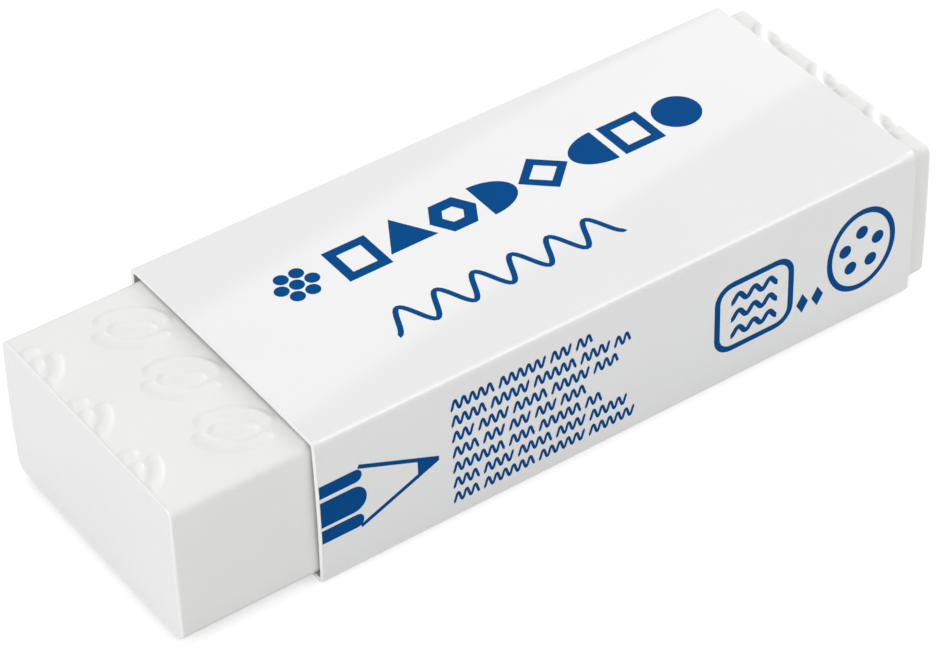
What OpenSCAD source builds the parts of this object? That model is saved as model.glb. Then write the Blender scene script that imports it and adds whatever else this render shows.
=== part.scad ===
// Vinyl block eraser that slides in a folded and glued card sleeve.
// X runs along the block, Y across it and Z up. The sleeve's underside lies on z = 0.

/* [Block] */
// Length of the block
block_l = 65; // [55:0.5:75]
// Width of the block
block_w = 22; // [18:0.5:26]
// Height of the block
block_h = 12; // [10:0.5:15]
// Radius of the two long edges of the top
top_edge_r = 0.7; // [0.6:0.1:1.8]
// Radius of the two long edges of the underside
base_edge_r = 1; // [0.6:0.1:1.8]
// Radius of the edge that runs round each cut end
cut_edge_r = 0.15; // [0.1:0.05:0.4]

/* [Raised leaves] */
// Length of a leaf, between the points where its curved ribs would meet
leaf_l = 5.6; // [5:0.2:6.4]
// Width of a leaf, between the crests of its curved ribs
leaf_w = 3.4; // [3:0.2:4]
// Angle between a leaf and the block's length
leaf_turn = 35; // [15:1:45]
// Distance between leaves along the block
leaf_step = 8.2; // [7.6:0.2:10]
// Distance between rows of leaves
row_step = 6.5; // [6:0.1:8]
// Height of the ribs above the top
rib_h = 0.2; // [0.08:0.02:0.22]
// Width of a rib at its foot
rib_w = 1.2; // [0.6:0.05:1.3]
// Angle by which each end of a curved rib stops short of the leaf's tip
tip_stop = 20; // [12:2:20]
// Length of the straight rib along the leaf's middle
vein_l = 2.2; // [1.5:0.1:3]

/* [Sleeve] */
// Length of the sleeve
sleeve_l = 52; // [40:0.5:58]
// Thickness of the card
card_t = 0.4; // [0.25:0.05:0.5]
// Radius inside each fold
fold_r = 0.2; // [0.2:0.05:0.6]
// Length of the block that stands out of the sleeve's near end
near_stand = 11; // [5:0.5:14]
// Distance from the sleeve's top down to the free edge of the glued flap
flap_drop = 3; // [1.5:0.5:5]
// Height of the glue that fills the groove where the flap leaves the outer panel
glue_h = 0.3; // [0.1:0.05:0.35]

/* [Clearances] */
// Gap between the block and the sleeve's front wall
front_gap = 0.25; // [0.1:0.05:0.5]
// Gap between the block and the glued flap
flap_gap = 0.15; // [0.1:0.05:0.4]
// Gap between the block's top and the sleeve's top wall
top_gap = 0.25; // [0.25:0.05:0.5]

/* [Hidden] */
$fn = 64;

// Sleeve: outer size, outer fold radius and the place of its near end.
outer_r = fold_r + card_t;
sleeve_w = block_w + front_gap + flap_gap + 3 * card_t;
sleeve_h = block_h + top_gap + 2 * card_t;
sleeve_x = near_stand - block_l / 2;

// Block: it rests on the card, and its front stands clear of the front wall.
block_y = (front_gap - flap_gap - card_t) / 2;
block_z = card_t;
bar_l = block_l - 2 * cut_edge_r;

// Ribs: each is the cap of a round bar on a foot that is sunk a little to join the top.
rib_sink = 0.05;
rib_r = (rib_w * rib_w / 4 + rib_h * rib_h) / (2 * rib_h);

// Leaves: the curved ribs lie on two arcs of whole degrees, and rows and columns fill the top.
arc_r = (leaf_l * leaf_l + leaf_w * leaf_w) / (4 * leaf_w);
arc_half = round(asin(leaf_l / 2 / arc_r)) - tip_stop;
leaf_span = leaf_l * sin(leaf_turn) + leaf_w * cos(leaf_turn) + rib_w;
rows = floor((block_w - 2 * top_edge_r - leaf_span) / row_step) + 1;
columns = 2 * ceil(block_l / leaf_step / 2) + 1;

// A quarter of a disc in the first quadrant.
module quarter_disc(r) {
    intersection() {
        circle(r);
        square(r);
    }
}

// The block's cross-section, pulled in by inset all round.
module block_section(inset) {
    low_r = base_edge_r - inset;
    high_r = top_edge_r - inset;
    half_w = block_w / 2 - inset;
    for (side = [0, 1]) {
        mirror([side, 0]) {
            translate([half_w - low_r, inset + low_r])
                circle(low_r);
            translate([half_w - high_r, block_h - inset - high_r])
                circle(high_r);
        }
    }
    translate([-half_w, inset + low_r])
        square([2 * half_w, block_h - 2 * inset - low_r - high_r]);
    translate([low_r - half_w, inset])
        square([2 * (half_w - low_r), low_r]);
    translate([high_r - half_w, block_h - inset - high_r])
        square([2 * (half_w - high_r), high_r]);
}

// The rounded edge along one straight side of a cut end, run over length l.
module straight_round(l) {
    rotate([90, 0, 0])
        linear_extrude(l, center = true)
            quarter_disc(cut_edge_r);
}

// The rounded edge at one corner of a cut end, whose long edge has radius r.
module corner_round(r) {
    rotate_extrude(angle = 90)
        translate([r - cut_edge_r, 0])
            quarter_disc(cut_edge_r);
}

// What one cut end adds to the bar: a face pulled in all round, and the rounds beside it.
module cut_end() {
    side_l = block_h - base_edge_r - top_edge_r;
    linear_extrude(cut_edge_r)
        block_section(cut_edge_r);
    for (side = [0, 1]) {
        mirror([side, 0, 0]) {
            translate([block_w / 2 - cut_edge_r, base_edge_r + side_l / 2, 0])
                straight_round(side_l);
            translate([block_w / 2 - base_edge_r, base_edge_r, 0])
                rotate(-90)
                    corner_round(base_edge_r);
            translate([block_w / 2 - top_edge_r, block_h - top_edge_r, 0])
                corner_round(top_edge_r);
        }
    }
    translate([0, cut_edge_r, 0])
        rotate(-90)
            straight_round(block_w - 2 * base_edge_r);
    translate([0, block_h - cut_edge_r, 0])
        rotate(90)
            straight_round(block_w - 2 * top_edge_r);
}

// The plain block, centred on X and Y, with its underside on z = 0.
module plain_block() {
    rotate([90, 0, 90]) {
        linear_extrude(bar_l, center = true)
            block_section(0);
        for (end = [0, 1]) {
            mirror([0, 0, end])
                translate([0, 0, bar_l / 2])
                    cut_end();
        }
    }
}

// A rib's cross-section: a low round cap on a short straight foot.
module rib_section() {
    intersection() {
        translate([0, rib_h - rib_r])
            circle(rib_r);
        translate([-rib_w, 0])
            square([2 * rib_w, rib_h]);
    }
    translate([-rib_w / 2, -rib_sink])
        square([rib_w, rib_sink]);
}

// The round end of a rib that arrives along -Y.
module rib_end() {
    rotate_extrude(angle = 180)
        intersection() {
            rib_section();
            translate([0, -rib_sink])
                square([2 * rib_w, rib_sink + rib_h]);
        }
}

// One of a leaf's two curved ribs, bowed towards +Y.
module curved_rib() {
    translate([0, leaf_w / 2 - arc_r, 0])
        rotate(90 - arc_half) {
            rotate_extrude(angle = 2 * arc_half)
                translate([arc_r, 0])
                    rib_section();
            translate([arc_r, 0, 0])
                mirror([0, 1, 0])
                    rib_end();
            rotate(2 * arc_half)
                translate([arc_r, 0, 0])
                    rib_end();
        }
}

// The straight rib along a leaf's middle.
module vein() {
    rotate([90, 0, 90])
        linear_extrude(vein_l, center = true)
            rib_section();
    for (end = [0, 1]) {
        mirror([end, 0, 0])
            translate([vein_l / 2, 0, 0])
                rotate(-90)
                    rib_end();
    }
}

module leaf() {
    vein();
    for (side = [0, 1]) {
        mirror([0, side, 0])
            curved_rib();
    }
}

// Rows of leaves that turn to and fro along the block and are cut through at its ends.
module leaves() {
    intersection() {
        for (column = [0 : columns - 1]) {
            for (row = [0 : rows - 1]) {
                x = (column - (columns - 1) / 2) * leaf_step;
                y = (row - (rows - 1) / 2) * row_step;
                translate([x, y, 0])
                    rotate(column % 2 == 0 ? leaf_turn : -leaf_turn)
                        leaf();
            }
        }
        translate([-bar_l / 2, -block_w / 2, -2 * rib_sink])
            cube([bar_l, block_w, 2 * rib_sink + 2 * rib_h]);
    }
}

// One fold of the card, in the first quadrant.
module fold_section() {
    difference() {
        quarter_disc(outer_r);
        circle(fold_r);
    }
}

// The folded card's cross-section, from the front wall on the left to the lap on the right.
module card_section() {
    wall_l = sleeve_h - 2 * outer_r;
    top_l = sleeve_w - 2 * outer_r;
    base_l = top_l - card_t;
    flap_x = sleeve_w - card_t;
    // Front wall, with its folds to the base and to the top.
    translate([0, outer_r])
        square([card_t, wall_l]);
    translate([outer_r, outer_r])
        rotate(180)
            fold_section();
    translate([outer_r, sleeve_h - outer_r])
        rotate(90)
            fold_section();
    // Base, which turns up into the flap inside the back wall.
    translate([outer_r, 0])
        square([base_l, card_t]);
    translate([flap_x - outer_r, outer_r])
        rotate(-90)
            fold_section();
    translate([flap_x - card_t, outer_r])
        square([card_t, sleeve_h - flap_drop - outer_r]);
    // Top, which turns down into the outer panel of the back wall.
    translate([outer_r, sleeve_h - card_t])
        square([top_l, card_t]);
    translate([sleeve_w - outer_r, sleeve_h - outer_r])
        fold_section();
    translate([flap_x, 0])
        square([card_t, sleeve_h - outer_r]);
    // Glue in the groove where the flap leaves the outer panel.
    translate([flap_x - card_t / 2, outer_r - glue_h])
        square([card_t / 2, glue_h]);
}

module eraser() {
    color("whitesmoke")
        translate([0, block_y, block_z]) {
            plain_block();
            translate([0, 0, block_h])
                leaves();
        }
}

module sleeve() {
    color("gainsboro")
        translate([sleeve_x, -sleeve_w / 2, 0])
            rotate([90, 0, 90])
                linear_extrude(sleeve_l)
                    card_section();
}

eraser();
sleeve();
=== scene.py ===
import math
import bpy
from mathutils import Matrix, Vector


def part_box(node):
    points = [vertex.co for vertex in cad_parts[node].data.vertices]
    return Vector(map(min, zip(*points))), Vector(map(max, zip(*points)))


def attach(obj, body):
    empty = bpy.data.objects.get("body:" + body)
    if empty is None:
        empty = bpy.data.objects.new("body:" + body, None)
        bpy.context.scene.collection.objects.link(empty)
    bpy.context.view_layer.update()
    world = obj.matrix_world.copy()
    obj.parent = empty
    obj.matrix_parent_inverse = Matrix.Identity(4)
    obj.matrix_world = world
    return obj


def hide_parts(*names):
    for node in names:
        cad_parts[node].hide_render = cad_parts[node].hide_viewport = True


bl_info = {
    "name": "Block eraser in a card sleeve",
    "version": (1, 0, 0),
    "blender": (4, 5, 0),
    "location": "3D View > Sidebar > Eraser",
    "description": "Makes a vinyl block eraser, its printed card sleeve and a studio round them",
    "category": "Add Mesh",
}

from typing import NamedTuple

import bmesh
import bpy
import numpy as np
from bpy.props import (
    FloatProperty,
    FloatVectorProperty,
    IntProperty,
    PointerProperty,
)
from bpy.types import Operator, Panel, PropertyGroup
from mathutils import Matrix, Quaternion, Vector

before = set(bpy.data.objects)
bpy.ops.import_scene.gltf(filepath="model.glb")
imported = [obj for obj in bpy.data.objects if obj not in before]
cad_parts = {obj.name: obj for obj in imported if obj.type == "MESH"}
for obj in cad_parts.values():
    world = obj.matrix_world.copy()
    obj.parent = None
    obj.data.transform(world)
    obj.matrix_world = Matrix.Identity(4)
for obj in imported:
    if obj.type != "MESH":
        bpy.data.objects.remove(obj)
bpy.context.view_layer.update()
BLOCK_LOW, BLOCK_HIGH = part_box("eraser")
SLEEVE_LOW, SLEEVE_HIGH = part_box("sleeve")

MM = 0.001
WHITE = (1.0, 1.0, 1.0)

# The image's width in pixels, and the width of the camera's sensor in millimetres.
IMAGE_WIDTH = 945
SENSOR_WIDTH = 36.0

# A point touches a level, or lies on a cutting plane, when it is closer than this.
TOUCHING = 1e-6
ON_PLANE = 1e-9

# An edge or a normal is straight along an axis when this share of it lies along the axis.
STRAIGHT = 0.999


# ---------------------------------------------------------------- settings


class VinylSettings(PropertyGroup):
    """Sizes and colour of the eraser block."""

    top_radius: FloatProperty(
        name="Top edge radius",
        description="Radius of the two long edges of the top",
        default=0.7 * MM,
        unit="LENGTH",
    )
    base_radius: FloatProperty(
        name="Base edge radius",
        description="Radius of the two long edges of the underside",
        default=1.0 * MM,
        unit="LENGTH",
    )
    cut_radius: FloatProperty(
        name="Cut edge radius",
        description="Radius of the edge round each cut end",
        default=0.15 * MM,
        unit="LENGTH",
    )
    cell: FloatProperty(
        name="Cell size",
        description="Distance between the mesh lines that carry the raised leaves",
        default=0.125 * MM,
        unit="LENGTH",
    )
    leaf_length: FloatProperty(
        name="Leaf length",
        description="Length of a raised leaf from tip to tip",
        default=5.6 * MM,
        unit="LENGTH",
    )
    leaf_width: FloatProperty(
        name="Leaf width",
        description="Width of a leaf between the crests of its curved ribs",
        default=3.4 * MM,
        unit="LENGTH",
    )
    leaf_turn: FloatProperty(
        name="Leaf turn",
        description="Angle between a leaf and the block's length",
        default=math.radians(35),
        subtype="ANGLE",
    )
    leaf_step: FloatProperty(
        name="Leaf step",
        description="Distance between leaves along the block",
        default=8.2 * MM,
        unit="LENGTH",
    )
    row_step: FloatProperty(
        name="Row step",
        description="Distance between rows of leaves",
        default=6.5 * MM,
        unit="LENGTH",
    )
    rows: IntProperty(
        name="Rows",
        description="Number of rows of leaves across the top",
        default=3,
        min=1,
    )
    rib_height: FloatProperty(
        name="Rib height",
        description="Height of the ribs above the top",
        default=0.2 * MM,
        unit="LENGTH",
    )
    rib_width: FloatProperty(
        name="Rib width",
        description="Width of a rib at its foot",
        default=1.2 * MM,
        unit="LENGTH",
    )
    foot: FloatProperty(
        name="Foot softness",
        description="Softness of the hollow where a rib meets the top",
        default=0.02 * MM,
        unit="LENGTH",
    )
    tip_stop: FloatProperty(
        name="Tip stop",
        description="Angle by which a curved rib stops short of the leaf's tip",
        default=math.radians(20),
        subtype="ANGLE",
    )
    vein_length: FloatProperty(
        name="Vein length",
        description="Length of the straight rib along a leaf's middle",
        default=2.2 * MM,
        unit="LENGTH",
    )
    end_crown: FloatProperty(
        name="End crown",
        description="How far the cut ends fall back towards their top and bottom edges",
        default=0.12 * MM,
        unit="LENGTH",
    )
    colour: FloatVectorProperty(
        name="Vinyl colour",
        description="Colour of the moulded faces",
        default=(0.83, 0.83, 0.818),
        subtype="COLOR",
    )
    # Partly the cut ends' own neutral tint and partly painted light: it is lighter than the moulded
    # colour to stand in for the light that falls on the ends.
    cut_tint_and_painted_light: FloatVectorProperty(
        name="Cut colour",
        description="Colour of the cut ends",
        default=(0.878, 0.878, 0.878),
        subtype="COLOR",
    )
    # Painted highlight: a near-white colour laid on the rounded edge round each cut end, standing in
    # for the light that edge catches.
    edge_colour: FloatVectorProperty(
        name="Edge colour",
        description="Painted highlight on the rounded edge round each cut end",
        default=(0.96, 0.96, 0.96),
        subtype="COLOR",
    )


class SleeveSettings(PropertyGroup):
    """Sizes and colours of the folded card."""

    card: FloatProperty(
        name="Card thickness",
        description="Thickness of the card",
        default=0.4 * MM,
        unit="LENGTH",
    )
    fold_radius: FloatProperty(
        name="Fold radius",
        description="Outer radius of each fold",
        default=0.6 * MM,
        unit="LENGTH",
    )
    flap_drop: FloatProperty(
        name="Flap drop",
        description="Distance from the sleeve's top down to the glued flap's free edge",
        default=3.0 * MM,
        unit="LENGTH",
    )
    cut_edge: FloatProperty(
        name="Cut edge width",
        description="Width of the bevel along the card's cut edges",
        default=0.04 * MM,
        unit="LENGTH",
    )
    lap_gap: FloatProperty(
        name="Lap gap",
        description="Thickness of the glue between the flap and the outer panel",
        default=0.02 * MM,
        unit="LENGTH",
    )
    bow: FloatProperty(
        name="Bow",
        description="How far the walls fall back from their middle to their folds",
        default=0.12 * MM,
        unit="LENGTH",
    )
    cell: FloatProperty(
        name="Cell size",
        description="Distance between the mesh lines that let the card bow",
        default=1.0 * MM,
        unit="LENGTH",
    )
    face_colour: FloatVectorProperty(
        name="Face colour",
        description="Colour of the coated outer face",
        default=(0.788, 0.791, 0.79),
        subtype="COLOR",
    )
    # Painted highlight: a paler colour laid along the upper folds to stand in for the light they
    # catch.
    fold_highlight_colour: FloatVectorProperty(
        name="Fold highlight colour",
        description="Painted highlight along the upper folds of the coated face",
        default=(0.87, 0.87, 0.87),
        subtype="COLOR",
    )
    inner_colour: FloatVectorProperty(
        name="Inner colour",
        description="Colour of the bare inner face",
        default=(0.62, 0.60, 0.55),
        subtype="COLOR",
    )
    edge_colour: FloatVectorProperty(
        name="Edge colour",
        description="Colour of the cut edge",
        default=(0.98, 0.98, 0.96),
        subtype="COLOR",
    )
    ink: FloatProperty(
        name="Ink thickness",
        description="Height of the printing ink above the card",
        default=0.012 * MM,
        unit="LENGTH",
    )
    ink_colour: FloatVectorProperty(
        name="Ink colour",
        description="Colour of the printing ink",
        default=(0.0, 0.067, 0.246),
        subtype="COLOR",
    )


class StageSettings(PropertyGroup):
    """Camera, lamps and floor."""

    azimuth: FloatProperty(
        name="Azimuth",
        description="Direction that the camera looks in, turned from +Y towards +X",
        default=math.radians(34.10),
        subtype="ANGLE",
    )
    elevation: FloatProperty(
        name="Elevation",
        description="Angle that the camera looks down by",
        default=math.radians(40.20),
        subtype="ANGLE",
    )
    roll: FloatProperty(
        name="Roll",
        description="Turn of the camera about its own line of sight",
        default=math.radians(-1.89),
        subtype="ANGLE",
    )
    distance: FloatProperty(
        name="Distance",
        description="Distance from the camera to its target",
        default=261.42 * MM,
        unit="LENGTH",
    )
    target: FloatVectorProperty(
        name="Target",
        description="Point that the camera looks at",
        default=(-1.08 * MM, -0.62 * MM, 5.18 * MM),
        subtype="TRANSLATION",
    )
    focal_pixels: FloatProperty(
        name="Focal length in pixels",
        description="Distance from the lens to an image as wide as the frame",
        default=3653.0,
    )
    floor_size: FloatProperty(
        name="Floor size",
        description="Length of each side of the floor",
        default=3.0,
        unit="LENGTH",
    )
    floor_gap: FloatProperty(
        name="Floor gap",
        description="How far the floor lies below the object",
        default=0.01 * MM,
        unit="LENGTH",
    )
    floor_colour: FloatVectorProperty(
        name="Floor colour",
        description="Colour of the floor",
        default=(0.72, 0.72, 0.72),
        subtype="COLOR",
    )
    floor_lift: FloatProperty(
        name="Floor lift",
        description="How much brighter the floor looks to the camera",
        default=0.62,
    )
    fill: FloatProperty(
        name="Fill light",
        description="Strength of the light that comes evenly from all round",
        default=0.43,
    )
    end_light: FloatProperty(
        name="End light",
        description="Power of the softbox that faces the near end",
        default=3.25,
        unit="POWER",
    )
    top_light: FloatProperty(
        name="Top light",
        description="Power of the softbox above",
        default=1.15,
        unit="POWER",
    )
    strip_light: FloatProperty(
        name="Strip light",
        description="Power of the strip that shows in the sleeve's top",
        default=0.4,
        unit="POWER",
    )
    far_light: FloatProperty(
        name="Far light",
        description="Power of the softbox that faces the far end",
        default=3.6,
        unit="POWER",
    )
    fold_light: FloatProperty(
        name="Fold light",
        description="Power of the softbox that shines in the sleeve's upper front fold",
        default=2.3,
        unit="POWER",
    )


# ---------------------------------------------------------------- shader maths


class Field:
    """A value in a material or a world. Arithmetic on it adds the Math nodes."""

    def __init__(self, finish, socket):
        self.finish = finish
        self.socket = socket

    def _math(self, operation, *operands):
        return self.finish.node("ShaderNodeMath", *operands, operation=operation)

    def __add__(self, other):
        return self._math("ADD", self, other)

    def __radd__(self, other):
        return self._math("ADD", other, self)

    def __sub__(self, other):
        return self._math("SUBTRACT", self, other)

    def __rsub__(self, other):
        return self._math("SUBTRACT", other, self)

    def __mul__(self, other):
        return self._math("MULTIPLY", self, other)

    def absolute(self):
        return self._math("ABSOLUTE", self)

    def ramp(self, low, high):
        """0 below low and 1 above high, with a smooth rise between them."""
        return self.finish.node(
            "ShaderNodeMapRange", self, low, high, interpolation_type="SMOOTHSTEP"
        )


class Finish:
    """A material or a world whose nodes are made by calls and by arithmetic."""

    # The Mix node repeats its sockets' names for each kind of data, so these go by number.
    MIX_SHARE, MIX_LOW, MIX_HIGH, MIX_RESULT = 0, 6, 7, 2

    def __init__(self, name, kind="materials", ending="ShaderNodeOutputMaterial"):
        self.owner = getattr(bpy.data, kind).new(name)
        self.owner.use_nodes = True
        self.ending = ending
        self.tree = self.owner.node_tree
        self.tree.nodes.clear()

    def node(self, kind, *values, output=0, sockets=None, **settings):
        """Adds a node, sets it up, fills its sockets in order or by name, and gives one output."""
        made = self.tree.nodes.new(kind)
        for key, value in settings.items():
            setattr(made, key, value)
        named = dict(enumerate(values))
        named.update(sockets or {})
        for key, value in named.items():
            self.feed(made.inputs[key], value)
        return Field(self, made.outputs[output])

    def feed(self, socket, value):
        """Links a field to a socket, or sets the socket's own value."""
        if isinstance(value, Field):
            self.tree.links.new(value.socket, socket)
        elif value is not None:
            socket.default_value = value

    def place(self):
        """Where a point of the piece lies, in metres."""
        return self.node("ShaderNodeTexCoord", output="Object")

    def axes(self, place):
        """The X, Y and Z of a place or a direction."""
        split = self.node("ShaderNodeSeparateXYZ", place).socket.node
        return [Field(self, socket) for socket in split.outputs]

    def facing(self):
        """How far the true surface faces along X, Y and Z."""
        return self.axes(self.node("ShaderNodeNewGeometry", output="True Normal"))

    def noise(self, place, size, detail=2.0, roughness=0.5, stretch=(1, 1, 1)):
        """Noise from 0 to 1 whose spots are about size across, longer where stretch is over 1."""
        scale = [1 / (size * s) for s in stretch]
        mapped = self.node(
            "ShaderNodeMapping", place, None, None, scale, vector_type="POINT"
        )
        return self.node(
            "ShaderNodeTexNoise",
            sockets={"Vector": mapped, "Scale": 1.0, "Detail": detail, "Roughness": roughness},
        )

    def blend(self, share, low, high):
        """A colour that is low where share is 0, and high where it is 1."""
        return self.node(
            "ShaderNodeMix",
            output=self.MIX_RESULT,
            sockets={self.MIX_SHARE: share, self.MIX_LOW: rgba(low), self.MIX_HIGH: rgba(high)},
            data_type="RGBA",
        )

    def bump(self, height, distance):
        """A normal for small relief, where distance is what a height of 1 stands for."""
        sockets = {"Height": height, "Distance": distance, "Strength": 1.0}
        return self.node("ShaderNodeBump", sockets=sockets)

    def surface(self, **sockets):
        """Ends the material in a Principled shader with these sockets, and gives the material."""
        named = {key.replace("_", " "): value for key, value in sockets.items()}
        return self.end_in(self.node("ShaderNodeBsdfPrincipled", sockets=named))

    def backdrop(self):
        """1 for rays that show the background to the camera, straight, in gloss or through glass."""
        path = self.node("ShaderNodeLightPath").socket.node
        shown = ("Is Camera Ray", "Is Glossy Ray", "Is Transmission Ray")
        camera, glossy, through = (Field(self, path.outputs[name]) for name in shown)
        return camera + glossy + through

    def end_in(self, shader):
        """Ends the nodes in a shader, and gives the material or world."""
        last = self.tree.nodes.new(self.ending)
        self.feed(last.inputs["Surface"], shader)
        return self.owner


def rgba(colour):
    """A colour as a socket takes it."""
    return colour if isinstance(colour, Field) else (*colour, 1.0)


def tint(colour, change):
    """A colour made lighter by a share, or darker where the share is below 0."""
    return tuple(min(part * (1 + change), 1.0) for part in colour)


def vinyl_finish(vinyl, half_length):
    """Soft matte vinyl: fine grain all over, with knife marks and their own neutral tint at the cut
    ends, which are also painted lighter to stand in for the light they catch, and a painted
    highlight on the rounded edge round each cut end.
    """
    finish = Finish("soft_vinyl")
    place = finish.place()
    face_x, _, _ = finish.facing()
    endways = face_x.absolute()
    cut = endways.ramp(0.7, 0.95)
    from_middle, _, _ = finish.axes(place)
    flat_half = half_length - vinyl.cut_radius
    # The next two lines mark the rounded edge round each cut end, where the painted highlight goes.
    last = from_middle.absolute().ramp(flat_half - vinyl.cut_radius, flat_half)
    edge = last * (1 - endways.ramp(0.9, 0.99))
    cloud = finish.noise(place, size=7 * MM, detail=3)
    pebble = finish.noise(place, size=0.9 * MM)
    speck = finish.noise(place, size=0.16 * MM, detail=4, roughness=0.65)
    streak = finish.noise(place, size=0.5 * MM, detail=3, stretch=(1, 1, 14)) * cut
    tone = (cloud * 0.6 + speck * 0.25 + streak * 0.15).ramp(0.2, 0.75)
    moulded = finish.blend(tone, tint(vinyl.colour, -0.025), tint(vinyl.colour, 0.015))
    # The cut ends' colour: their own neutral tint, painted lighter than the moulded faces to stand
    # in for the light they catch.
    cut_face_tint_and_painted_light = finish.blend(tone, tint(vinyl.cut_tint_and_painted_light, -0.02), tint(vinyl.cut_tint_and_painted_light, 0.01))
    grain = speck * 0.6 + pebble * 0.9 + streak * 1.6
    return finish.surface(
        Base_Color=finish.blend(edge, finish.blend(cut, moulded, cut_face_tint_and_painted_light), vinyl.edge_colour),
        Roughness=0.38 + speck * 0.14,
        Normal=finish.bump(grain, distance=0.012 * MM),
        Subsurface_Weight=0.12,
        Subsurface_Radius=(1.0, 0.95, 0.85),
        Subsurface_Scale=0.25 * MM,
        IOR=1.5,
        Specular_IOR_Level=0.5,
    )


def coated_finish(sleeve):
    """Gloss coated card: smooth, with the soft ripple of folded board and a painted highlight along
    the upper folds.
    """
    finish = Finish("coated_card")
    place = finish.place()
    _, face_y, face_z = finish.facing()
    # A painted highlight: faces that turn between up and sideways, on the upper folds only, are
    # blended to a paler colour.
    fold_highlight = face_y.absolute().ramp(0.18, 0.6) * face_z.ramp(0.4, 0.75)
    cloud = finish.noise(place, size=9 * MM)
    fibre = finish.noise(place, size=0.22 * MM, detail=4, roughness=0.7, stretch=(2.5, 1, 1))
    ripple = finish.noise(place, size=11 * MM, detail=1) * 3 + fibre * 0.03
    tone = (cloud * 0.6 + fibre * 0.4).ramp(0.25, 0.75)
    mottle = 0.012
    card = finish.blend(tone, tint(sleeve.face_colour, -mottle), tint(sleeve.face_colour, mottle))
    return finish.surface(
        Base_Color=finish.blend(fold_highlight, card, sleeve.fold_highlight_colour),
        Roughness=0.3 + fibre * 0.12,
        Normal=finish.bump(ripple, distance=0.01 * MM),
        Coat_Weight=0.7 + cloud * 0.1,
        Coat_Roughness=0.05,
        Coat_IOR=1.5,
        IOR=1.5,
        Specular_IOR_Level=0.4,
    )


def ink_finish(name, colour):
    """Printing ink: deep and even, with less shine than the coated card."""
    finish = Finish(name)
    place = finish.place()
    fibre = finish.noise(place, size=0.22 * MM, detail=4, roughness=0.7)
    tone = fibre.ramp(0.25, 0.75)
    return finish.surface(
        Base_Color=finish.blend(tone, tint(colour, -0.03), tint(colour, 0.03)),
        Roughness=0.5 + fibre * 0.1,
        Normal=finish.bump(fibre, distance=0.002 * MM),
        Specular_IOR_Level=0.03,
    )


def board_finish(name, colour, fleck, stretch):
    """Bare board: matte, with the fibres and flecks of pulp."""
    finish = Finish(name)
    place = finish.place()
    fibre = finish.noise(place, size=0.12 * MM, detail=5, roughness=0.75, stretch=stretch)
    spot = finish.noise(place, size=0.5 * MM).ramp(0.66, 0.74)
    tone = fibre.ramp(0.25, 0.75) - spot * 0.5
    return finish.surface(
        Base_Color=finish.blend(tone, tint(colour, -fleck), colour),
        Roughness=0.72 + fibre * 0.15,
        Normal=finish.bump(fibre, distance=0.01 * MM),
        Specular_IOR_Level=0.25,
    )


# ---------------------------------------------------------------- meshes


# The Weighted Normal modifier's highest weight, which puts large faces first.
FLAT_FIRST = 100


def even_normals(piece):
    """Lets large flat faces set the shading next to narrow rounded edges."""
    even = piece.modifiers.new("even_normals", "WEIGHTED_NORMAL")
    even.weight = FLAT_FIRST
    even.keep_sharp = True


def piece_from(bm, name, body, slot, *materials):
    """Makes a piece of the object from a bmesh and gives it its body and materials. The slot is not
    used.
    """
    mesh = bpy.data.meshes.new(name)
    bm.to_mesh(mesh)
    bm.free()
    mesh.shade_smooth()
    for material in materials:
        mesh.materials.append(material)
    piece = bpy.data.objects.new(name, mesh)
    bpy.context.scene.collection.objects.link(piece)
    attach(piece, body)
    return piece


def everything(bm):
    """All of a mesh, as the operators that cut it take it."""
    return bm.verts[:] + bm.edges[:] + bm.faces[:]


def slice_mesh(bm, axis, low, high, step):
    """Adds mesh lines across one axis, about step apart."""
    cuts = max(1, round((high - low) / step))
    normal = Vector([float(i == axis) for i in range(3)])
    for i in range(1, cuts):
        bmesh.ops.bisect_plane(
            bm,
            geom=everything(bm),
            plane_co=normal * (low + (high - low) * i / cuts),
            plane_no=normal,
            dist=ON_PLANE,
        )


def round_edges(bm, edges, radius, segments):
    """Rounds edges to a radius."""
    bmesh.ops.bevel(
        bm,
        geom=edges,
        offset=radius,
        offset_type="OFFSET",
        segments=segments,
        profile=0.5,
        affect="EDGES",
        material=-1,
        clamp_overlap=True,
    )


def along(edge, axis):
    """Whether an edge runs along one axis."""
    span = edge.verts[1].co - edge.verts[0].co
    return abs(span[axis]) > STRAIGHT * span.length


def rise(value, low, high):
    """0 below low and 1 above high, with an even rise between them."""
    return np.clip((value - low) / (high - low), 0, 1)


def move_points(bm, shift):
    """Moves every point by what shift makes of the array of points."""
    points = np.array([v.co for v in bm.verts])
    for vert, point in zip(bm.verts, points + shift(points)):
        vert.co = point


# ---------------------------------------------------------------- eraser block


LONG_EDGE_SEGMENTS = 7
CUT_EDGE_SEGMENTS = 3

# How many of the fine cells that carry the leaves make up one of the coarse cells elsewhere.
COARSE_CELLS = 8

# Shares of the block's half height and half length, from its middle, past which the top's
# points rise with the leaves and the cut ends fall back.
RAISED_FROM = 0.9
CROWNED_FROM = 0.8


def segment_distance(x, y, half):
    """Distance to a straight stretch of the X axis from -half to half."""
    return np.hypot(np.maximum(np.abs(x) - half, 0), y)


def arc_distance(x, y, radius, half_angle):
    """Distance to an arc about the origin that spreads half_angle to each side of +Y."""
    angle = np.clip(np.arctan2(x, y), -half_angle, half_angle)
    return np.hypot(x - radius * np.sin(angle), y - radius * np.cos(angle))


def leaf_distance(x, y, vinyl):
    """Distance to the nearest crest line of one leaf whose middle is the origin."""
    crest = vinyl.leaf_width / 2
    arc_r = (vinyl.leaf_length**2 + vinyl.leaf_width**2) / (4 * vinyl.leaf_width)
    full_angle = math.degrees(math.asin(vinyl.leaf_length / 2 / arc_r))
    half_angle = math.radians(round(full_angle)) - vinyl.tip_stop
    arcs = arc_distance(x, np.abs(y) + arc_r - crest, arc_r, half_angle)
    return np.minimum(segment_distance(x, y, vinyl.vein_length / 2), arcs)


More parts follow.
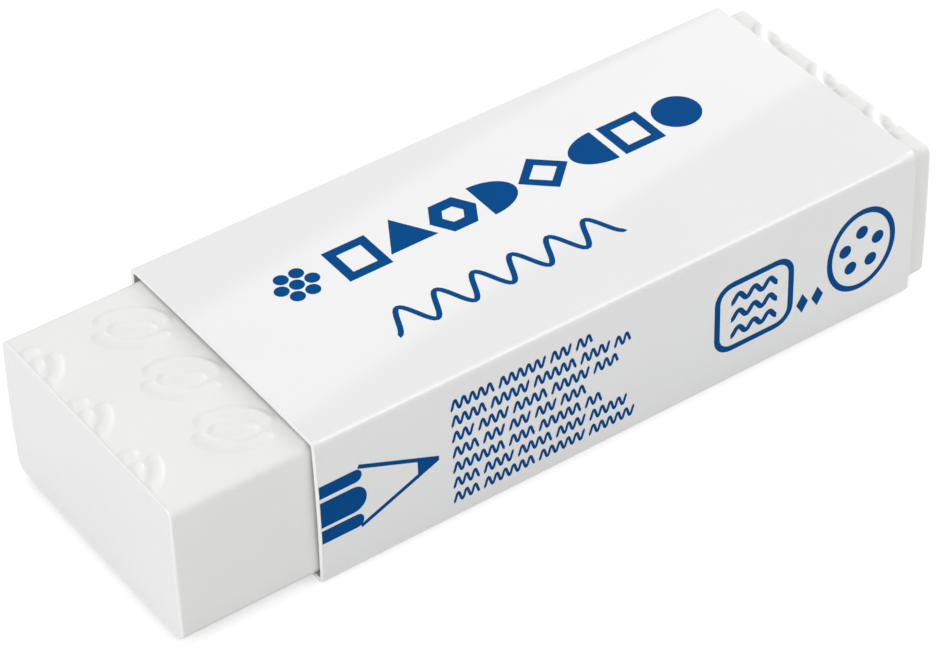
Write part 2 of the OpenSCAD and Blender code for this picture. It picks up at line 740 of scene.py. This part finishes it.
def relief(x, y, length, vinyl):
    """Height of the raised leaves at points on the top, with a soft foot to every rib."""
    columns = 2 * math.ceil(length / vinyl.leaf_step / 2) + 1
    nearest = np.full(x.shape, np.inf)
    for column in range(columns):
        turn = vinyl.leaf_turn if column % 2 == 0 else -vinyl.leaf_turn
        for row in range(vinyl.rows):
            dx = x - (column - (columns - 1) / 2) * vinyl.leaf_step
            dy = y - (row - (vinyl.rows - 1) / 2) * vinyl.row_step
            leaf_x = dx * math.cos(turn) + dy * math.sin(turn)
            leaf_y = dy * math.cos(turn) - dx * math.sin(turn)
            nearest = np.minimum(nearest, leaf_distance(leaf_x, leaf_y, vinyl))
    radius = (vinyl.rib_width**2 / 4 + vinyl.rib_height**2) / (2 * vinyl.rib_height)
    cap = np.sqrt(np.maximum(radius**2 - nearest**2, 0)) - (radius - vinyl.rib_height)
    soft = (cap + np.hypot(cap, vinyl.foot)) / 2
    return np.minimum(soft, vinyl.rib_height)


class ERASER_OT_block(Operator):
    """Add the vinyl block, with rounded edges and raised leaves on its top."""

    bl_idname = "eraser.block"
    bl_label = "Vinyl block"

    def execute(self, context):
        vinyl = context.scene.eraser_vinyl
        top = BLOCK_HIGH.z - vinyl.rib_height
        size = Vector((*(BLOCK_HIGH - BLOCK_LOW).xy, top - BLOCK_LOW.z))
        half = size / 2
        middle = BLOCK_LOW + half
        bm = bmesh.new()
        bmesh.ops.create_cube(bm, size=1)
        bmesh.ops.scale(bm, verts=bm.verts, vec=size)
        bmesh.ops.translate(bm, verts=bm.verts, vec=middle)
        for level, radius in ((top, vinyl.top_radius), (BLOCK_LOW.z, vinyl.base_radius)):
            lengthways = [e for e in bm.edges if along(e, 0)]
            long_edges = [e for e in lengthways if abs(e.verts[0].co.z - level) < TOUCHING]
            round_edges(bm, long_edges, radius, LONG_EDGE_SEGMENTS)
        crossways = [e for e in bm.edges if not along(e, 0)]
        round_edges(bm, crossways, vinyl.cut_radius, CUT_EDGE_SEGMENTS)
        self.divide(bm, vinyl, top)

        def shape(points):
            """How far each point moves: up with the leaves on the top, and in at the cut ends."""
            x, y, z = (points - np.array(middle)).T
            shift = np.zeros_like(points)
            raised = rise(z / half.z, RAISED_FROM, 1)
            flat_end = rise(half.x - np.abs(x), 0, 2 * vinyl.cut_radius)
            flat_side = rise(half.y - np.abs(y), 0, vinyl.top_radius)
            shift[:, 2] = relief(x, y, size.x, vinyl) * raised * flat_end * flat_side
            near_end = rise(np.abs(x) / half.x, CROWNED_FROM, 1)
            fall = vinyl.end_crown * (z / half.z * near_end) ** 2
            shift[:, 0] = -np.sign(x) * fall
            return shift

        move_points(bm, shape)
        finish = vinyl_finish(vinyl, half.x)
        block = piece_from(bm, "vinyl_block", "eraser", "vinyl", finish)
        even_normals(block)
        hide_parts("eraser")
        return {"FINISHED"}

    def divide(self, bm, vinyl, top):
        """Adds coarse mesh lines all over, and fine ones on the flat of the top."""
        coarse = COARSE_CELLS * vinyl.cell
        slice_mesh(bm, 0, BLOCK_LOW.x, BLOCK_HIGH.x, coarse)
        slice_mesh(bm, 2, BLOCK_LOW.z, top, 2 * coarse)
        flat = [f for f in bm.faces if f.normal.z > STRAIGHT and f.calc_area() > coarse**2]
        for axis in (1, 0):
            edges = list({e for f in flat for e in f.edges if along(e, axis)})
            longest = max(e.calc_length() for e in edges)
            cuts = round(longest / vinyl.cell) - 1
            bmesh.ops.subdivide_edges(bm, edges=edges, cuts=cuts, use_grid_fill=True)
            bm.normal_update()
            flat = [f for f in bm.faces if f.normal.z > STRAIGHT]


# ---------------------------------------------------------------- sleeve


FOLD_SEGMENTS = 8

# The card is straight along X, so its mesh lines lie this many times further apart that way.
CARD_STRETCH = 2

# The cut edges of the card are those that turn by more than this angle.
CUT_ANGLE = math.radians(60)
CUT_SEGMENTS = 2

# The material slots of the card's inner face and of its cut edges.
BARE_SLOT = 1
CUT_SLOT = 2


def card_bow(sleeve):
    """Gives the function by which the folded card's walls fall back towards their folds."""
    middle = (SLEEVE_LOW + SLEEVE_HIGH) / 2
    half = (SLEEVE_HIGH - SLEEVE_LOW) / 2

    def shift(points):
        _, y, z = (points - np.array(middle)).T
        across = np.clip(y / (half.y - sleeve.fold_radius), -1, 1)
        up = np.clip(z / (half.z - sleeve.fold_radius), -1, 1)
        height = (1 + z / half.z) / 2
        moved = np.zeros_like(points)
        moved[:, 1] = -sleeve.bow * (y / half.y) * up**2
        moved[:, 2] = -sleeve.bow * height * across**2
        return moved

    return shift


class ERASER_OT_sleeve(Operator):
    """Add the sleeve: one sheet of card, folded round the block and glued along a lap."""

    bl_idname = "eraser.sleeve"
    bl_label = "Card sleeve"

    def execute(self, context):
        sleeve = context.scene.eraser_sleeve
        low = SLEEVE_LOW + Vector((0, sleeve.ink, 0))
        high = SLEEVE_HIGH - Vector((0, 0, sleeve.ink))
        flap_y = high.y - sleeve.card - sleeve.lap_gap
        # The card's outer face, from the flap's free edge round to the outer panel's.
        route = [
            (flap_y, high.z - sleeve.flap_drop),
            (flap_y, low.z),
            (low.y, low.z),
            (low.y, high.z),
            (high.y, high.z),
            (high.y, low.z),
        ]
        bm = bmesh.new()
        corners = [bm.verts.new((low.x, y, z)) for y, z in route]
        for start, end in zip(corners, corners[1:]):
            bm.edges.new((start, end))
        made = bmesh.ops.extrude_edge_only(bm, edges=bm.edges[:])
        far = [v for v in made["geom"] if isinstance(v, bmesh.types.BMVert)]
        bmesh.ops.translate(bm, verts=far, vec=(high.x - low.x, 0, 0))
        folds = [e for e in bm.edges if along(e, 0) and len(e.link_faces) == 2]
        round_edges(bm, folds, sleeve.fold_radius, FOLD_SEGMENTS)
        radius = sleeve.fold_radius
        slice_mesh(bm, 1, low.y + radius, high.y - radius, sleeve.cell)
        slice_mesh(bm, 2, low.z + radius, high.z - radius, sleeve.cell)
        slice_mesh(bm, 0, low.x, high.x, CARD_STRETCH * sleeve.cell)
        move_points(bm, card_bow(sleeve))
        bmesh.ops.recalc_face_normals(bm, faces=bm.faces)
        # The highest face lies in the top, so it shows which way the sheet faces.
        if max(bm.faces, key=lambda f: f.calc_center_median().z).normal.z < 0:
            bmesh.ops.reverse_faces(bm, faces=bm.faces)
        card = piece_from(
            bm,
            "card_sleeve",
            "sleeve",
            "card",
            coated_finish(sleeve),
            board_finish("bare_board", sleeve.inner_colour, fleck=0.12, stretch=(3, 1, 1)),
            board_finish("cut_board", sleeve.edge_colour, fleck=0.06, stretch=(1, 1, 1)),
        )
        wall = card.modifiers.new("card_thickness", "SOLIDIFY")
        wall.thickness = sleeve.card
        wall.offset = -1
        wall.use_even_offset = True
        wall.material_offset = BARE_SLOT
        wall.material_offset_rim = CUT_SLOT
        crisp = card.modifiers.new("cut_edges", "BEVEL")
        crisp.width = sleeve.cut_edge
        crisp.segments = CUT_SEGMENTS
        crisp.limit_method = "ANGLE"
        crisp.angle_limit = CUT_ANGLE
        even_normals(card)
        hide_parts("sleeve")
        return {"FINISHED"}


# ---------------------------------------------------------------- print


DISC_CORNERS = 48
CORNER_SEGMENTS = 6

# Each kind of shape: its corners, the turn of its first corner, and the radius of the circle
# through its corners where the shape's size is 1.
SHAPES = {
    "disc": (DISC_CORNERS, 0, 0.5),
    "half": (DISC_CORNERS, 0, 0.5),
    "square": (4, math.radians(45), math.sqrt(0.5)),
    "rounded": (4, math.radians(45), math.sqrt(0.5)),
    "diamond": (4, 0, 0.5),
    "hexagon": (6, 0, 0.54),
    "triangle": (3, 0, 0.577),
}

# Mesh steps along each wave, the fewest and most half waves in a word, and the gap between
# words as a share of a wave.
WAVE_STEPS = 18
WORD_HALVES = (5, 12)
WORD_GAP = 0.55

# The ink is shaded as a sharp corner where it turns by more than this angle, and its mesh
# lines lie this many times further apart along X than the card's cell.
INK_CORNER = math.radians(40)
INK_STRETCH = 3


class Wave(NamedTuple):
    """The height of a wavy line, the line's width and the length of each wave, in millimetres."""

    height: float
    line: float
    pitch: float


def add_shape(bm, kind, centre, size, turn=0, line=0, corner=0.25):
    """Adds a flat shape to the XY plane, in millimetres. With a line width it is an outline."""
    corners, first, radius = SHAPES[kind]
    place = (
        Matrix.Translation((*centre, 0))
        @ Matrix.Rotation(turn, 4, "Z")
        @ Matrix.Diagonal((*size, 1, 1))
        @ Matrix.Rotation(first, 4, "Z")
    )
    made = bmesh.ops.create_circle(
        bm, cap_ends=True, segments=corners, radius=radius, matrix=place
    )
    faces = list({f for v in made["verts"] for f in v.link_faces})
    if kind == "rounded":
        rounded = bmesh.ops.bevel(
            bm,
            geom=made["verts"],
            offset=corner * min(size),
            offset_type="OFFSET",
            segments=CORNER_SEGMENTS,
            profile=0.5,
            affect="VERTICES",
            material=-1,
        )
        faces = list({f for v in rounded["verts"] for f in v.link_faces})
    if kind == "half":
        half = made["verts"] + faces + list({e for f in faces for e in f.edges})
        flat_side = Matrix.Rotation(turn, 3, "Z") @ Vector((0, -1, 0))
        bmesh.ops.bisect_plane(
            bm, geom=half, plane_co=(*centre, 0), plane_no=flat_side, clear_outer=True
        )
    if line:
        bmesh.ops.inset_region(bm, faces=faces, thickness=line, use_boundary=True)
        bmesh.ops.delete(bm, geom=faces, context="FACES")


def add_discs(bm, middle, arm, size, count, first=0):
    """Adds small discs evenly on a circle round a middle."""
    for i in range(count):
        turn = first + math.radians(360 / count * i)
        add_shape(bm, "disc", middle + Matrix.Rotation(turn, 2) @ Vector((arm, 0)), size)


def add_wave(bm, start, length, wave):
    """Adds a wavy line that runs along X."""
    place = Matrix.Translation((start[0] + length / 2, start[1], 0))
    made = bmesh.ops.create_grid(
        bm,
        x_segments=round(WAVE_STEPS * length / wave.pitch),
        y_segments=1,
        size=0.5,
        matrix=place @ Matrix.Diagonal((length, wave.line, 1, 1)),
    )
    for vert in made["verts"]:
        angle = 2 * math.pi * (vert.co.x - start[0]) / wave.pitch
        slope = math.pi * wave.height / wave.pitch * math.sin(angle)
        side = (vert.co.y - start[1]) / math.hypot(1, slope)
        vert.co.x -= side * slope
        vert.co.y = start[1] + side - wave.height / 2 * math.cos(angle)


def add_words(bm, start, length, wave, chance):
    """Adds a row of short wavy lines of uneven length, with gaps between them."""
    fewest, most = WORD_HALVES
    done = 0
    while done < length - wave.pitch:
        waves = chance.integers(fewest, most + 1) / 2
        part = min(waves * wave.pitch, length - done)
        add_wave(bm, (start[0] + done, start[1]), part, wave)
        done += part + WORD_GAP * wave.pitch


def print_piece(bm, name, place, sleeve):
    """Makes ink of the flat shapes, which are in millimetres, and lays it on the bowed card.

    The ink is twice as thick as it is high, because its lower half is sunk in the card.
    """
    cell = sleeve.cell / MM
    for axis, step in ((0, INK_STRETCH * cell), (1, cell)):
        places = [v.co[axis] for v in bm.verts]
        slice_mesh(bm, axis, min(places), max(places), step)
    bmesh.ops.recalc_face_normals(bm, faces=bm.faces)
    down = [f for f in bm.faces if f.normal.z < 0]
    bmesh.ops.reverse_faces(bm, faces=down)
    bmesh.ops.solidify(bm, geom=bm.faces[:], thickness=2 * sleeve.ink / MM)
    top = max(v.co.z for v in bm.verts)
    sink = Matrix.Translation((0, 0, sleeve.ink - top * MM))
    bmesh.ops.transform(
        bm, verts=bm.verts, matrix=place @ sink @ Matrix.Diagonal((MM, MM, MM, 1))
    )
    move_points(bm, card_bow(sleeve))
    ink = ink_finish(name + "_ink", sleeve.ink_colour)
    piece = piece_from(bm, name, "sleeve", "card", ink)
    piece.data.set_sharp_from_angle(angle=INK_CORNER)


# All the print's places and sizes are in millimetres. Places are measured from the sleeve's
# near front edge: on its top along and across the sleeve, and on its side along and up.

# The flower of discs at the band's near end.
FLOWER_MIDDLE = Vector((8.15, 14.6))
FLOWER_ARM = 1.27
FLOWER_DISC = (1.12, 1.12)
FLOWER_PETALS = 6

# The band: each shape's kind, its place along the sleeve, its size, its turn in degrees and
# its line width, which is 0 where it is filled.
BAND_LEVEL = 14.5
BAND_SHAPES = [
    ("square", 13.1, (3.6, 3.8), 0, 1.1),
    ("triangle", 17.25, (4.0, 4.0), 0, 0),
    ("hexagon", 21.3, (3.7, 3.7), 30, 1.1),
    ("half", 23.7, (3.8, 6.0), -90, 0),
    ("diamond", 29.2, (4.4, 4.2), 0, 0.95),
    ("half", 34.7, (3.8, 6.0), 90, 0),
    ("square", 37.1, (3.6, 3.8), 0, 1.1),
    ("disc", 41.3, (3.8, 3.8), 0, 0),
]

# The wavy line below the band.
LINE_START = (10.7, 7.0)
LINE_LENGTH = 19.3
LINE_WAVE = Wave(height=2.6, line=0.42, pitch=3.2)

# The pencil's middle line, and where the print starts just inside the card's near edge.
PENCIL_LEVEL = 6.6
PENCIL_START = 0.08

# The bars of its body: each one's level, its reach from the near edge and its height. Their
# corners are rounded by a share of their height.
BARS = ((4.5, 3.5, 1.2), (6.54, 3.8, 2.28), (8.6, 3.5, 1.1))
BAR_CORNER = 0.48

# The two lines of its cone, whose middles lie this far above and below the pencil's own.
CONE_PLACE = 6.48
CONE_OFFSET = 1.38
CONE_LINE = (7.0, 0.34)
CONE_LEAN = math.radians(22.8)

# The cone's dark tip.
TIP_PLACE = 8.6
TIP_SIZE = (1.9, 2.1)

# The rows of words, from the top one down.
TEXT_START = (10.9, 10.6)
TEXT_LENGTHS = (11.9, 15.2, 14.1, 12.4, 12.7, 14.9, 15.9)
TEXT_STEP = 1.42
TEXT_WAVE = Wave(height=0.8, line=0.22, pitch=0.72)
TEXT_SEED = 5

# The marks at the far end: a tile with three wavy lines, two lozenges and a ring of dots.
TILE_MIDDLE = (37.2, 6.25)
TILE_SIZE = (7.2, 6.4)
TILE_LINE = 0.5
TILE_LEVELS = (4.7, 6.25, 7.8)
TILE_WAVE_LENGTH = 4.2
TILE_WAVE = Wave(height=0.66, line=0.42, pitch=1.4)
LOZENGES = ((41.7, 4.2), (43.1, 4.2))
LOZENGE_SIZE = (1.1, 1.8)
RING_MIDDLE = Vector((47.1, 6.6))
RING_SIZE = (6.4, 7.4)
RING_LINE = 0.48
DOT_ARM = 1.6
DOT_SIZE = (1.1, 1.1)
DOTS = 5


class ERASER_OT_top_print(Operator):
    """Add the print on the sleeve's top: a band of plain shapes and a wavy line."""

    bl_idname = "eraser.top_print"
    bl_label = "Top print"

    def execute(self, context):
        sleeve = context.scene.eraser_sleeve
        bm = bmesh.new()
        add_discs(bm, FLOWER_MIDDLE, FLOWER_ARM, FLOWER_DISC, FLOWER_PETALS)
        add_shape(bm, "disc", FLOWER_MIDDLE, FLOWER_DISC)
        for kind, place, size, degrees, line in BAND_SHAPES:
            add_shape(bm, kind, (place, BAND_LEVEL), size, turn=math.radians(degrees), line=line)
        add_wave(bm, LINE_START, LINE_LENGTH, LINE_WAVE)
        on_top = Matrix.Translation((SLEEVE_LOW.x, SLEEVE_LOW.y, SLEEVE_HIGH.z - sleeve.ink))
        print_piece(bm, "top_print", on_top, sleeve)
        return {"FINISHED"}


class ERASER_OT_side_print(Operator):
    """Add the print on the sleeve's front: a pencil, rows of wavy lines and plain marks."""

    bl_idname = "eraser.side_print"
    bl_label = "Side print"

    def execute(self, context):
        sleeve = context.scene.eraser_sleeve
        bm = bmesh.new()
        self.add_pencil(bm)
        self.add_text(bm)
        self.add_marks(bm)
        on_side = Matrix.Translation(
            (SLEEVE_LOW.x, SLEEVE_LOW.y + sleeve.ink, SLEEVE_LOW.z)
        ) @ Matrix.Rotation(math.radians(90), 4, "X")
        print_piece(bm, "side_print", on_side, sleeve)
        return {"FINISHED"}

    def add_pencil(self, bm):
        """A pencil that comes in from the sleeve's near edge: three bars, two lines and a tip."""
        for level, reach, height in BARS:
            add_shape(bm, "rounded", (0, level), (2 * reach, height), corner=BAR_CORNER)
        bmesh.ops.bisect_plane(
            bm,
            geom=everything(bm),
            plane_co=(PENCIL_START, 0, 0),
            plane_no=(-1, 0, 0),
            clear_outer=True,
        )
        for side in (1, -1):
            centre = (CONE_PLACE, PENCIL_LEVEL + CONE_OFFSET * side)
            add_shape(bm, "square", centre, CONE_LINE, turn=-CONE_LEAN * side)
        tip = (TIP_PLACE, PENCIL_LEVEL)
        add_shape(bm, "triangle", tip, TIP_SIZE, turn=math.radians(-90))

    def add_text(self, bm):
        """Rows of short wavy lines in the place of words."""
        chance = np.random.default_rng(TEXT_SEED)
        for row, length in enumerate(TEXT_LENGTHS):
            start = (TEXT_START[0], TEXT_START[1] - TEXT_STEP * row)
            add_words(bm, start, length, TEXT_WAVE, chance)

    def add_marks(self, bm):
        """A tile with three wavy lines, two lozenges and a ring of dots."""
        add_shape(bm, "rounded", TILE_MIDDLE, TILE_SIZE, line=TILE_LINE)
        for level in TILE_LEVELS:
            start = (TILE_MIDDLE[0] - TILE_WAVE_LENGTH / 2, level)
            add_wave(bm, start, TILE_WAVE_LENGTH, TILE_WAVE)
        for centre in LOZENGES:
            add_shape(bm, "diamond", centre, LOZENGE_SIZE)
        add_shape(bm, "disc", RING_MIDDLE, RING_SIZE, line=RING_LINE)
        add_discs(bm, RING_MIDDLE, DOT_ARM, DOT_SIZE, DOTS, first=math.radians(90))


# ---------------------------------------------------------------- stage


# Share of the camera's distance within which nothing is drawn.
NEAR_CLIP = 0.05


def floor_finish(stage):
    """A pale matte floor that looks white to the camera and still keeps the shadow."""
    finish = Finish("studio_floor")
    matte = finish.node("ShaderNodeBsdfDiffuse", rgba(stage.floor_colour))
    lift = finish.node("ShaderNodeEmission", rgba(stage.floor_colour), stage.floor_lift)
    lifted = finish.node("ShaderNodeAddShader", matte, lift)
    return finish.end_in(finish.node("ShaderNodeMixShader", finish.backdrop(), matte, lifted))


def world_finish(stage):
    """A world that lights evenly from all round and looks white to the camera."""
    finish = Finish("studio_world", "worlds", "ShaderNodeOutputWorld")
    fill = finish.node("ShaderNodeBackground", rgba(WHITE), stage.fill)
    white = finish.node("ShaderNodeBackground", rgba(WHITE), 1.0)
    return finish.end_in(finish.node("ShaderNodeMixShader", finish.backdrop(), fill, white))


def add_lamp(name, middle, side, size, power, aim):
    """Adds a softbox whose long sides run along side exactly and whose face looks towards aim."""
    lamp = bpy.data.lights.new(name, "AREA")
    lamp.shape = "RECTANGLE"
    lamp.size, lamp.size_y = size
    lamp.energy = power
    across = Vector(side).normalized()
    back = Vector(middle) - aim
    back = (back - across * back.dot(across)).normalized()
    turn = Matrix((across, back.cross(across), back)).transposed().to_4x4()
    holder = bpy.data.objects.new(name, lamp)
    holder.matrix_world = Matrix.Translation(middle) @ turn
    bpy.context.scene.collection.objects.link(holder)


# Each lamp: its middle, the direction of its long sides, and its length and width, in metres.
LAMPS = {
    "end_light": ((-0.82, -0.22, 0.38), (-0.22, 0.82, 0), (0.6, 0.4)),
    "top_light": ((-0.25, 0.20, 0.90), (1, 0, 0), (0.7, 0.6)),
    "strip_light": ((0.46, 0.705, 0.69), (0.949, 0.315, 0), (0.9, 0.10)),
    "far_light": ((0.75, 0.25, 0.35), (0, 1, 0), (0.5, 0.4)),
    "fold_light": ((0.40, -0.60, 0.58), (1, 0, 0), (0.7, 0.4)),
}


class ERASER_OT_stage(Operator):
    """Add the floor, the lamps, the white surroundings and the camera."""

    bl_idname = "eraser.stage"
    bl_label = "Studio"

    def execute(self, context):
        stage = context.scene.eraser_stage
        self.add_floor(stage)
        context.scene.world = world_finish(stage)
        self.add_lamps(stage)
        self.add_camera(stage)
        context.scene.view_settings.view_transform = "Standard"
        return {"FINISHED"}

    def add_floor(self, stage):
        bm = bmesh.new()
        bmesh.ops.create_grid(bm, x_segments=1, y_segments=1, size=stage.floor_size / 2)
        mesh = bpy.data.meshes.new("studio_floor")
        bm.to_mesh(mesh)
        bm.free()
        mesh.materials.append(floor_finish(stage))
        floor = bpy.data.objects.new("studio_floor", mesh)
        floor.location = (0, 0, -stage.floor_gap)
        bpy.context.scene.collection.objects.link(floor)

    def add_lamps(self, stage):
        for name, (middle, side, size) in LAMPS.items():
            add_lamp(name, middle, side, size, getattr(stage, name), Vector(stage.target))

    def add_camera(self, stage):
        level = math.cos(stage.elevation)
        forward = Vector(
            (
                math.sin(stage.azimuth) * level,
                math.cos(stage.azimuth) * level,
                -math.sin(stage.elevation),
            )
        )
        turn = Quaternion(forward, -stage.roll) @ forward.to_track_quat("-Z", "Y")
        lens = bpy.data.cameras.new("studio_camera")
        lens.sensor_fit = "HORIZONTAL"
        lens.sensor_width = SENSOR_WIDTH
        lens.lens = stage.focal_pixels * SENSOR_WIDTH / IMAGE_WIDTH
        lens.clip_start = NEAR_CLIP * stage.distance
        camera = bpy.data.objects.new("studio_camera", lens)
        camera.location = Vector(stage.target) - forward * stage.distance
        camera.rotation_euler = turn.to_euler()
        bpy.context.scene.collection.objects.link(camera)
        bpy.context.scene.camera = camera


# ---------------------------------------------------------------- sidebar


class ERASER_PT_panel(Panel):
    """The sidebar's buttons and settings."""

    bl_label = "Eraser"
    bl_idname = "ERASER_PT_panel"
    bl_space_type = "VIEW_3D"
    bl_region_type = "UI"
    bl_category = "Eraser"

    def draw(self, context):
        layout = self.layout
        for operator in OPERATORS:
            layout.operator(operator.bl_idname)
        for group in GROUPS:
            settings = getattr(context.scene, group)
            box = layout.box()
            for name in settings.bl_rna.properties.keys():
                if name not in ("rna_type", "name"):
                    box.prop(settings, name)


GROUPS = {
    "eraser_vinyl": VinylSettings,
    "eraser_sleeve": SleeveSettings,
    "eraser_stage": StageSettings,
}
OPERATORS = (
    ERASER_OT_block,
    ERASER_OT_sleeve,
    ERASER_OT_top_print,
    ERASER_OT_side_print,
    ERASER_OT_stage,
)
CLASSES = (*GROUPS.values(), *OPERATORS, ERASER_PT_panel)


def register():
    for cls in CLASSES:
        bpy.utils.register_class(cls)
    for name, cls in GROUPS.items():
        setattr(bpy.types.Scene, name, PointerProperty(type=cls))


def unregister():
    for name in GROUPS:
        delattr(bpy.types.Scene, name)
    for cls in reversed(CLASSES):
        bpy.utils.unregister_class(cls)


def main():
    register()
    bpy.ops.eraser.block()
    bpy.ops.eraser.sleeve()
    bpy.ops.eraser.top_print()
    bpy.ops.eraser.side_print()
    bpy.ops.eraser.stage()


if __name__ == "__main__":
    main()
